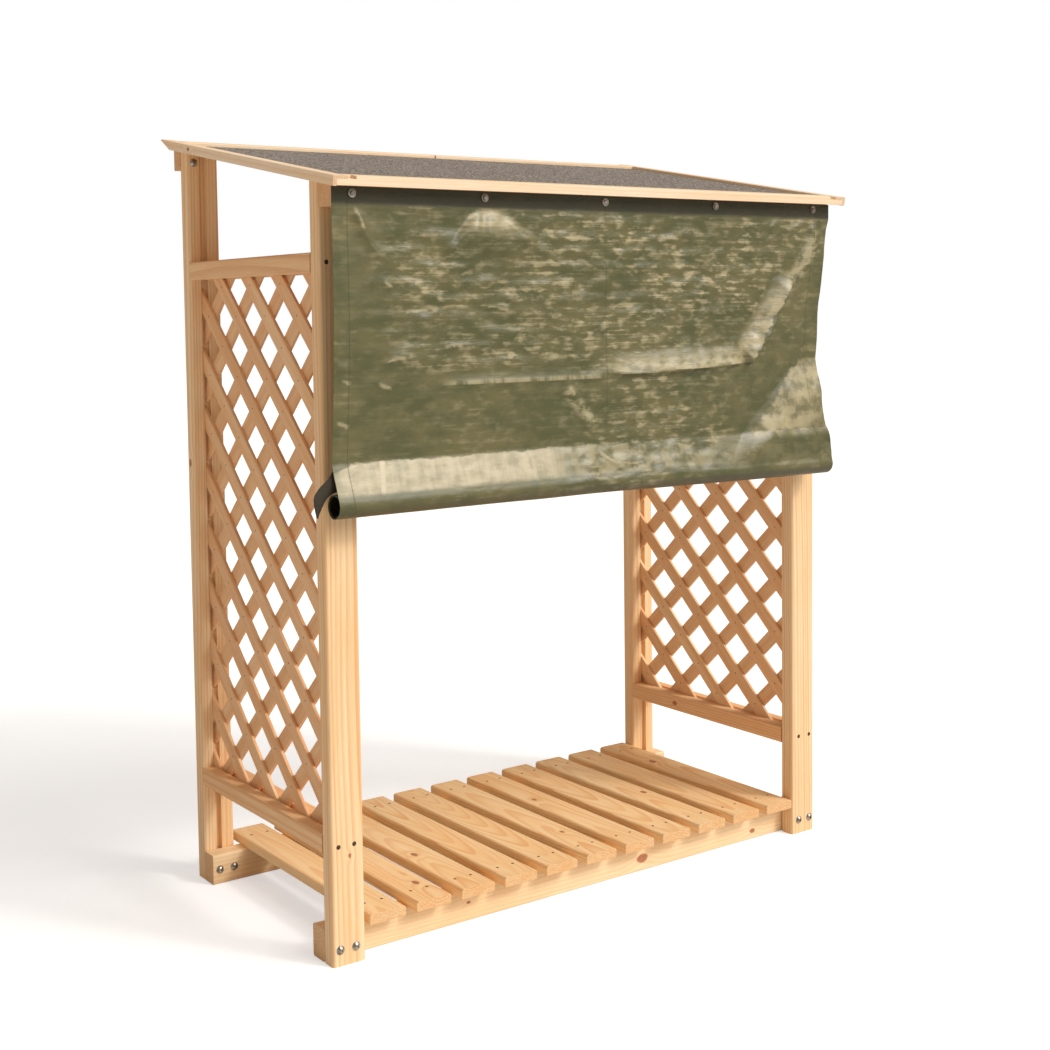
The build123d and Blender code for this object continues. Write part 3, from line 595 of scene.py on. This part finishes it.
def crease_height(x, z, points, height, left, right):
    """How far one crease lifts the sheet at a point, in millimetres."""
    nearest, signed, share = 1e9, 0.0, 0.0
    last = len(points) - 1
    for index in range(last):
        (ax, az), (bx, bz) = points[index], points[index + 1]
        dx, dz = bx - ax, bz - az
        length = math.hypot(dx, dz)
        at = min(1.0, max(0.0, ((x - ax) * dx + (z - az) * dz) / length ** 2))
        away = math.hypot(x - ax - dx * at, z - az - dz * at)
        if away < nearest:
            nearest, share = away, (index + at) / last
            signed = away if dx * (z - az) - dz * (x - ax) > 0 else -away
    if signed > left or signed < -right:
        return 0.0
    ends = min(1.0, share * 7 + 0.02, (1 - share) * 5 + 0.02)
    if signed >= 0:
        return height * ends * (1 - signed / left) ** (1.5 if left > right else 2)
    return height * ends * (1 + signed / right) ** (2 if left > right else 1.5)


def swell(x, z, wide, tall, luck):
    """Noise from about -0.5 to 0.5, in lumps of a given width and height."""
    return noise.noise(Vector((x / wide, z / tall, luck)))


def cover_busyness(x, z):
    """How crumpled the sheet is at a point, from 0 to 1."""
    upper = eased(x, 40, 190) * eased(z, 1085, 1140) * (1 - 0.45 * eased(z, 1340, 1400))
    smooth_top = 1230 + (x - 1100) * 0.4
    upper *= 1 - 0.85 * eased(x, 1060, 1120) * (1 - eased(z, smooth_top, smooth_top + 60))
    lower = 0.75 * eased(x, 440, 560) * (1 - eased(x, 860, 960)) * (1 - eased(z, 1085, 1140))
    clouds = eased(swell(x, z, 210, 120, 3.7), -0.40, 0.25)
    return 0.10 + 0.90 * max(upper, lower) * (0.35 + 0.65 * clouds)


def screw_pull(x, z):
    """The small folds that spread from the cover's screws."""
    lift = 0.0
    for screw_x, pull in SCREW_PULLS:
        away = math.hypot(x - screw_x, SCREW_HEIGHT - z)
        if away < 190:
            angle = math.atan2(x - screw_x, SCREW_HEIGHT - z)
            lift += pull * math.cos(angle * 7.0 + screw_x) * math.exp(-(away / 70) ** 2) * eased(away, 14, 40)
    return lift


def fan_lift(x, z):
    """The fan of folds below the second screw."""
    drop = FAN_TOP - z
    left, right = FAN_LEFT - drop * FAN_LEFT_SPREAD, FAN_RIGHT + drop * FAN_RIGHT_SPREAD
    fan = eased(x, left, left + 14) * (1 - eased(x, right - 30, right)) * eased(drop, 0, 46)
    angle = math.atan2(x - 335, 1440 - z)
    return 8.0 * fan * (1 - eased(drop, 40, 120)) * (1 + 0.16 * math.cos(angle * 17))


def flare_lift(x, z):
    """The flare at the lower right, which stands out below its line, in pleats."""
    drop = between(FLARE, x) - z
    if x <= FLARE[0][0] or drop <= 0:
        return 0.0
    pleat = math.sin(math.tau * (x + 0.28 * (z - 900)) / 47 + 2.2 * swell(x, z, 110, 90, 4.4))
    lift = min(15.0, drop * 0.21) * eased(z, 866, 930)
    lift += pleat * eased(drop, 40, 90) * eased(z, 880, 930)
    return lift + 2.6 * swell(x, z, 42, 40, 31.0) * eased(drop, 0, 30)


def cover_wrinkle(x, z):
    """How far the sheet stands out at a point of its hanging part, in millimetres."""
    busy = cover_busyness(x, z)
    diamond = math.sin(math.tau * (x / 92 + z / 60)) * math.sin(math.tau * (x / 92 - z / 60))
    lift = 2.6 * swell(x, z, 380, 300, 1.3) + 1.5 * swell(x, z, 140, 80, 27.3)
    lift += busy * (1.3 * diamond + 3.6 * swell(x, z, 60, 30, 7.1) + 1.1 * swell(x, z, 28, 15, 17.9))
    for points, height, left, right in CREASES:
        lift += crease_height(x, z, points, height, left, right)
    lift += screw_pull(x, z) + fan_lift(x, z) + flare_lift(x, z)
    rail_ridge = crease_height(x, z, ((0, 1396), (1268, 1393)), 1.6, 10, 16)
    lift += rail_ridge * eased(swell(x, 0.3, 70, 1, 9.9), -0.05, 0.3)
    if z > RAIL_HEIGHT:
        on_rail = eased(z, RAIL_HEIGHT, RAIL_HEIGHT + 18)
        lift *= 1 - 0.75 * on_rail
        lift += (max(0.0, lift) - lift) * on_rail
    return max(LEAST_LIFT, lift)


profile = cover_profile()
last_row = len(profile) - 1
bpy.ops.object.select_all(action="DESELECT")
bpy.ops.mesh.primitive_grid_add(x_subdivisions=300, y_subdivisions=last_row, size=1, calc_uvs=True)
cover = bpy.context.object
cover.name = "cover_sheet_and_roll"
sheet_width = cover_high.x - cover_low.x
sheet_length = profile[-1][0]
hung_length = hang_length + lean_length
for loop in cover.data.loops:
    corner_at = cover.data.vertices[loop.vertex_index].co
    along = profile[round((0.5 - corner_at.y) * last_row)][0]
    cover.data.uv_layers[0].data[loop.index].uv = (corner_at.x + 0.5, 1 - along / sheet_length)
for vertex in cover.data.vertices:
    along, y, z, out = profile[round((0.5 - vertex.co.y) * last_row)]
    x = (vertex.co.x + 0.5) * sheet_width * 1000
    height = 1000 * z if along <= hung_length else ROLL_TOP - 300 * (along - hung_length)
    lift = cover_wrinkle(x, 1000 * (cover_high.z - along)) if along <= hung_length + 0.03 else 0.0
    lift *= 1 - eased(along, hung_length - 0.014, hung_length + 0.016)
    wrapped = eased(along, hung_length - 0.03, hung_length + 0.03)
    lift += wrapped * (0.9 * swell(x, along * 9, 210, 1, 5.5) + 0.35 * swell(x, along * 22, 60, 1, 8.5))
    inset = max(0.0, along - hung_length - 0.04) * 30
    from_right, from_left = eased(x, 800, 1268), 1 - eased(x, 0, 420)
    sag = 0.006 * eased(x, 500, 1268) * eased(along, hang_length - 0.10, hung_length)
    x -= (between(RIGHT_EDGE, height) + inset) * from_right ** 2
    x += (between(LEFT_EDGE, height) + inset * 0.6) * from_left ** 2
    vertex.co = Vector((cover_low.x + x / 1000, y, z - sag)) + out * (min(lift, MOST_LIFT) / 1000)
thickness = cover.modifiers.new("thickness", "SOLIDIFY")
thickness.thickness, thickness.offset = 0.0011, 0.0
alone(cover)
bpy.ops.object.modifier_apply(modifier="thickness")
bpy.ops.object.mode_set(mode="EDIT")
bpy.ops.mesh.select_all(action="SELECT")
bpy.ops.mesh.normals_make_consistent(inside=False)
bpy.ops.object.mode_set(mode="OBJECT")
bpy.ops.object.shade_smooth_by_angle(angle=math.radians(50))

olive = Finish("olive_woven_sheet")
cloth = olive.moved(olive.node("TexCoord").outputs["UV"], scale=(sheet_width * 1000, sheet_length * 1000, 1))
cloth_x, cloth_up = olive.parts(cloth)[:2]
height_up = cloth_up - (sheet_length - cover_high.z) * 1000


def cloth_noise(across, up, detail, roughness=0.5):
    """Noise on the cloth, with so many lumps to a millimetre across and up."""
    return olive.noise(olive.moved(cloth, scale=(across, up, 1)), 1.0, detail, roughness)


def span(value, start, full, fade, end):
    """A mask that rises from start to full and falls from fade to end."""
    return olive.step(value, start, full) * olive.step(value, fade, end, 1.0, 0.0)


def near(value, at, width):
    """A mask that is 1 on a line across the cloth and fades out beside it."""
    return olive.step(abs(value - at), width * 0.3, width, 1.0, 0.0)


def beside(start, end):
    """How far a point lies along a line on the cloth and to its left, and its length."""
    length = math.hypot(end[0] - start[0], end[1] - start[1])
    unit_x, unit_z = (end[0] - start[0]) / length, (end[1] - start[1]) / length
    along_line = (cloth_x - start[0]) * unit_x + (height_up - start[1]) * unit_z
    return along_line, (height_up - start[1]) * unit_x - (cloth_x - start[0]) * unit_z, length


def wave(value):
    """A wave that comes down to 0 at each whole number."""
    return abs((value * math.pi).through("SINE"))


wide = cloth_noise(0.0048, 0.008, 2.0)
mottle = cloth_noise(0.030, 0.060, 2.0, 0.55)
rows = cloth_noise(0.007, 0.13, 1.0)
weft = cloth_noise(0.012, 0.36, 2.0, 0.7)
warp = cloth_noise(0.42, 0.02, 2.0, 0.7)
streaks = cloth_noise(0.035, 0.006, 3.0, 0.6)
scuffs = cloth_noise(0.012, 0.020, 4.0, 0.6)
crinkle = cloth_noise(0.032, 0.062, 3.0)
flare_patches = olive.step(cloth_noise(0.024, 0.030, 3.0, 0.55), 0.38, 0.60)
woven = mottle * 0.7 + weft * 0.3
stray = (mottle - 0.5) * 46

# Painted highlights: where the sheet is crumpled its face is painted paler, in
# small patches in rows and in packing creases that cross, for the sheen of light.
rising, falling = cloth_x / 77 + height_up / 58, cloth_x / 77 - height_up / 58
packing = olive.step(wave(rising + wide * 2).least(wave(falling + mottle)), 0.0, 0.6)
blotch = (mottle - 0.5) * 2.3 + (rows - 0.5) * 1.1 + (weft - 0.5) * 0.9 + (packing - 0.7) * 0.16
patches = olive.step(blotch, -0.12, 0.68)
upper_part = olive.step(cloth_x, 40, 200) * olive.step(height_up, 1076, 1120)
smooth_part = olive.step(cloth_x, 1060, 1110) * olive.step(height_up - cloth_x * 0.4, 810, 850, 1.0, 0.0)
lower_part = span(cloth_x, 420, 560, 880, 1030)
crumpled = (upper_part * (1 - smooth_part)).most(lower_part) * olive.step(wide, 0.36, 0.60, 0.35, 1.0)
crumpled = crumpled.most(olive.step(wide, 0.44, 0.62) * 0.40).most(0.16)
heart = span(cloth_x, 380, 620, 980, 1120) * olive.step(height_up, 1120, 1220)
pale = patches * crumpled * (0.66 + heart * 0.20)

# Painted highlights lie too in the fan below the second screw, above the long
# crease and the shorter one to its left, and up the arm that rises from the long crease.
fan_drop = FAN_TOP - height_up
fan = (olive.step(cloth_x + fan_drop * FAN_LEFT_SPREAD + stray, FAN_LEFT - 7, FAN_LEFT + 9)
       * olive.step(cloth_x - fan_drop * FAN_RIGHT_SPREAD + stray, FAN_RIGHT - 26, FAN_RIGHT + 8, 1.0, 0.0)
       * olive.step(fan_drop, -2, 6) * olive.step(fan_drop + stray, 30, 66, 1.0, 0.0))
pale = pale.most(fan * (0.30 + olive.step(rows * 0.6 + mottle * 0.4, 0.40, 0.58) * 0.45))
above_line = height_up - 1079 - (cloth_x - 830).most(0.0) * 0.05
fold_band = (span(cloth_x, 560, 700, 1010, 1040) * olive.step(above_line, 0.0, 3.0)
             * olive.step(above_line + stray, 14, 52, 1.0, 0.0))
pale = pale.most(fold_band * (0.22 + olive.step(woven, 0.38, 0.58) * 0.50))
left_line = span(cloth_x, 215, 270, 600, 640) * span(height_up, 1070, 1072, 1074, 1084)
pale = pale.most(left_line * olive.step(streaks, 0.36, 0.56) * 0.55)
arm_along, arm_left, arm_length = beside((1032, 1093), (1160, 1254))
arm_left = arm_left + stray * 0.5
arm = (span(arm_along, -6, 10, arm_length * 0.7, arm_length * 1.15) * olive.step(arm_left, -1, 4)
       * olive.step(arm_left + arm_along * 0.10, 34, 70, 1.0, 0.0))
pale = pale.most(arm * (0.24 + olive.step(woven, 0.38, 0.58) * 0.56))
diagonal_along, diagonal_left, diagonal_length = beside((520, 1052), (592, 978))
diagonal = (span(diagonal_along, -8, 8, diagonal_length - 10, diagonal_length + 14)
            * olive.step(abs(diagonal_left), 4, 22, 1.0, 0.0))
pale = pale.most(diagonal * olive.step(mottle, 0.36, 0.58) * 0.55)
corner_along, corner_left, corner_length = beside((1146, 1232), (1256, 1372))
corner = (span(corner_along, -4, 20, corner_length - 20, corner_length + 6)
          * olive.step(abs(corner_left), 8, 34, 1.0, 0.0))
pale = pale.most(corner * olive.step(woven, 0.40, 0.58) * 0.62)

# Painted highlights lie as well in the flare, on the band that leans out above
# the roll, and on the short creases. The strip behind the screws, under the roof,
# is painted dark as the roof's shadow, and the painted highlights are dimmed there.
flare_left = beside((1000, 925), (1179, 1073))[1] + stray * 0.9
flare = (olive.step(flare_left, -1, -16) * olive.step(flare_left, -190, -80, 0.30, 1.0)
         * olive.step(height_up, 1098, 1088) * olive.step(height_up, 915, 945))
pale = pale.most(flare * (0.22 + flare_patches * 0.48 + (weft - 0.5) * 0.3))
band_top = height_up + (cloth_x - 600).most(0.0) * 0.05 + (40 - cloth_x).most(0.0) * 0.45 + stray * 0.45
band = olive.step(height_up + stray * 0.1, 874, 886) * olive.step(band_top, 936, 941, 1.0, 0.0)
band_streaks = olive.step(streaks * 0.6 + mottle * 0.4, 0.36, 0.62, 0.34, 0.80)
solid_band = olive.step(cloth_x, 0, 16, 0.4, 1.0) * olive.step(cloth_x, 430, 590, 1.0, 0.0) * band_streaks
solid_band = solid_band.most(near(cloth_x - (height_up - 900) * 0.15, 96, 9))
broken_band = olive.step(cloth_x, 430, 560) * olive.step(cloth_x, 820, 1000, 1.0, 0.25) * flare_patches * 0.46
pale = pale.most(band * solid_band.most(broken_band))
SHORT_CREASES = (
    ((236, 1143), (276, 1144)), ((334, 1219), (384, 1209)), ((106, 1264), (124, 1252)),
    ((110, 1121), (152, 1126)), ((92, 1079), (120, 1069)), ((598, 924), (660, 883)),
    ((45, 1396), (66, 1358)), ((16, 1086), (36, 1082)), ((150, 1208), (206, 1214)), ((8, 1013), (34, 1005)),
)
for start, end in SHORT_CREASES:
    dash_along, dash_left, dash_length = beside(start, end)
    dash = (span(dash_along, -3, 6, dash_length - 8, dash_length + 3)
            * olive.step(abs(dash_left + stray * 0.3), 0.5, 5.5, 1.0, 0.0))
    pale = pale.most(dash * olive.step(mottle, 0.3, 0.6, 0.15, 0.6))
# Painted shadow: the roof's shadow, painted dark along the top of the sheet.
painted_roof_shadow = olive.step(height_up + stray * 0.12 + weft * 5, 1399, 1408)
pale = pale * (1 - painted_roof_shadow * 0.9)

LEFT_WELD, RIGHT_WELD, MIDDLE_FOLD = 31.0, 40.0, 623.0
weld = near(cloth_x, LEFT_WELD, 1.4).most(near(cloth_x, sheet_width * 1000 - RIGHT_WELD, 1.4))
pressed = near(cloth_x, MIDDLE_FOLD, 1.8) * olive.step(height_up, 930, 990)
faded = olive.step(scuffs * 0.6 + wide * 0.4, 0.40, 0.60)
olive_colour = olive.mix(faded, tone(76, 79, 41), tone(100, 96, 57))
olive_colour = olive.mix(olive.step(weft, 0.35, 0.7) * 0.25, olive_colour, tone(68, 66, 36))
# The painted highlights turn the olive cloth toward a pale cream.
olive_colour = olive.mix(pale, olive_colour, tone(190, 179, 144))
# The band that leans out above the roll gets a stronger painted highlight, in paler cream.
olive_colour = olive.mix(band * solid_band * 0.52, olive_colour, tone(198, 189, 166))
olive_colour = olive.mix(weld * 0.40, olive_colour, tone(48, 46, 28))
# Painted shade: the middle fold is painted a little darker along its crease.
olive_colour = olive.mix(pressed * 0.25, olive_colour, tone(54, 52, 32))
# The roof's painted shadow darkens the cloth along the top of the sheet.
olive_colour = olive.mix(painted_roof_shadow * 0.76, olive_colour, tone(24, 23, 14))
roll_start = (sheet_length - hung_length) * 1000
rolled = olive.step(cloth_up, roll_start - 20, roll_start - 4, 1.0, 0.0)
olive_colour = olive.mix(rolled * olive.step(cloth_x, 300, 1000, 0.40, 0.75), olive_colour, tone(70, 66, 42))
# From one turn in, the cloth of the roll shows only at its ends, inside the roll,
# where it is painted nearly black as painted shade.
inner_turns = olive.step(cloth_up, roll_start - 150, roll_start - 130, 1.0, 0.0)
olive_colour = olive.mix(inner_turns * 0.92, olive_colour, tone(8, 8, 6))
olive_height = crumpled * crinkle * 2.0 + weft * 0.16 + warp * 0.05 - weld * 0.25 - pressed * 0.3
olive.surface(Base_Color=olive_colour, Roughness=0.36 + scuffs * 0.08 + painted_roof_shadow * 0.25,
              Specular_IOR_Level=0.6, Normal=olive.bump(olive_height, 0.001, 1.0))
cover.data.materials.append(olive.material)
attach(cover, "root")
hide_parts("cover_sheet", "cover_roll")

# Tie strap: a flap of dark webbing sewn behind the sheet's left edge, which
# stands out to the side and narrows to a tip beside the end of the roll. Its two
# edges are in millimetres from the sheet's left edge and the roll's middle.
STRAP_UPPER = (
    (4, 66), (-6, 64), (-14, 55), (-23, 47.5), (-37, 37), (-49, 23), (-51.5, 11), (-50, -2), (-47.5, -15),
)
STRAP_LOWER = (
    (5, 25), (-1, 26), (-9, 24), (-19, 19), (-27, 12), (-34, 2), (-39, -5), (-43, -11), (-46.5, -16),
)
WEAVE_WIDTH, WEAVE_LENGTH, RIB_PITCH, CORD_PITCH = 25, 120, 1.6, 2.4
bpy.ops.object.select_all(action="DESELECT")
bpy.ops.mesh.primitive_grid_add(x_subdivisions=8, y_subdivisions=48, size=1, calc_uvs=True)
strap = bpy.context.object
strap.name = "cover_strap_webbing"
for vertex in strap.data.vertices:
    share = (0.5 - vertex.co.y) * (len(STRAP_UPPER) - 1)
    first = min(len(STRAP_UPPER) - 2, int(share))
    part = share - first
    # A smooth curve through the points of each edge, from the four nearest.
    spots = []
    for edge in (STRAP_UPPER, STRAP_LOWER):
        route = [edge[max(0, min(len(edge) - 1, first + step))] for step in (-1, 0, 1, 2)]
        spots.append([0.5 * (2 * b + (c - a) * part + (2 * a - 5 * b + 4 * c - d) * part ** 2
                             + (3 * b - a - 3 * c + d) * part ** 3) for a, b, c, d in zip(*route)])
    lower = vertex.co.x + 0.5
    across, up = [one + (other - one) * lower for one, other in zip(*spots)]
    forward = 0.003 * math.sin(math.pi * lower) + 0.014 * (0.5 - vertex.co.y)
    vertex.co = (cover_low.x + across / 1000, hang_y + 0.005 - forward, roll_middle.z + up / 1000)
body = strap.modifiers.new("body", "SOLIDIFY")
body.thickness, body.offset = 0.0016, 0.0
alone(strap)
bpy.ops.object.modifier_apply(modifier="body")
bpy.ops.object.mode_set(mode="EDIT")
bpy.ops.mesh.select_all(action="SELECT")
bpy.ops.mesh.normals_make_consistent(inside=False)
bpy.ops.object.mode_set(mode="OBJECT")
bpy.ops.object.shade_smooth_by_angle(angle=math.radians(50))
webbing = Finish("dark_webbing")
web = webbing.moved(webbing.node("TexCoord").outputs["UV"], scale=(WEAVE_WIDTH, WEAVE_LENGTH, 1))
web_x, web_up = webbing.parts(web)[:2]
rib = (web_up * (math.tau / RIB_PITCH)).through("SINE")
cord = (web_x * (math.tau / CORD_PITCH)).through("SINE")
fuzz = webbing.noise(web, 3.0, 3.0, 0.6)
web_colour = webbing.mix(webbing.step(rib * 0.25 + fuzz, 0.3, 0.8), tone(38, 34, 27), tone(72, 64, 49))
webbing.surface(Base_Color=web_colour, Roughness=0.55 + fuzz * 0.15, Specular_IOR_Level=0.4,
                Normal=webbing.bump(rib * 0.5 + cord * 0.4 + fuzz * 0.3, 0.0005, 0.8))
strap.data.materials.append(webbing.material)
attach(strap, "root")
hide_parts("cover_strap")

# Bolts and screws: zinc-plated steel, slightly clouded. The heads that are set
# in the wood are duller and browner.
zinc = Finish("zinc_plated_steel")
scuff = zinc.noise(zinc.place, 900.0, 3.0, 0.6)
cloud = zinc.noise(zinc.place, 120.0, 2.0, 0.5)
zinc.surface(Base_Color=zinc.mix(zinc.step(cloud, 0.3, 0.7), tone(188, 184, 176), tone(128, 124, 117)),
             Metallic=1.0, Roughness=0.22 + scuff * 0.2, Normal=zinc.bump(scuff, 0.0001, 0.4))
for fastener in ("foot_bolts", "top_rail_bolts", "cover_screws"):
    dress(fastener, zinc.material)

dull = Finish("dull_screw_steel")
dull_spots = dull.noise(dull.place, 500.0, 2.0, 0.6)
dull.surface(Base_Color=dull.mix(dull.step(dull_spots, 0.35, 0.7), tone(70, 52, 40), tone(112, 92, 74)),
             Metallic=0.75, Roughness=0.45 + dull_spots * 0.2)
for fastener in ("panel_screws", "slat_nails"):
    dress(fastener, dull.material)
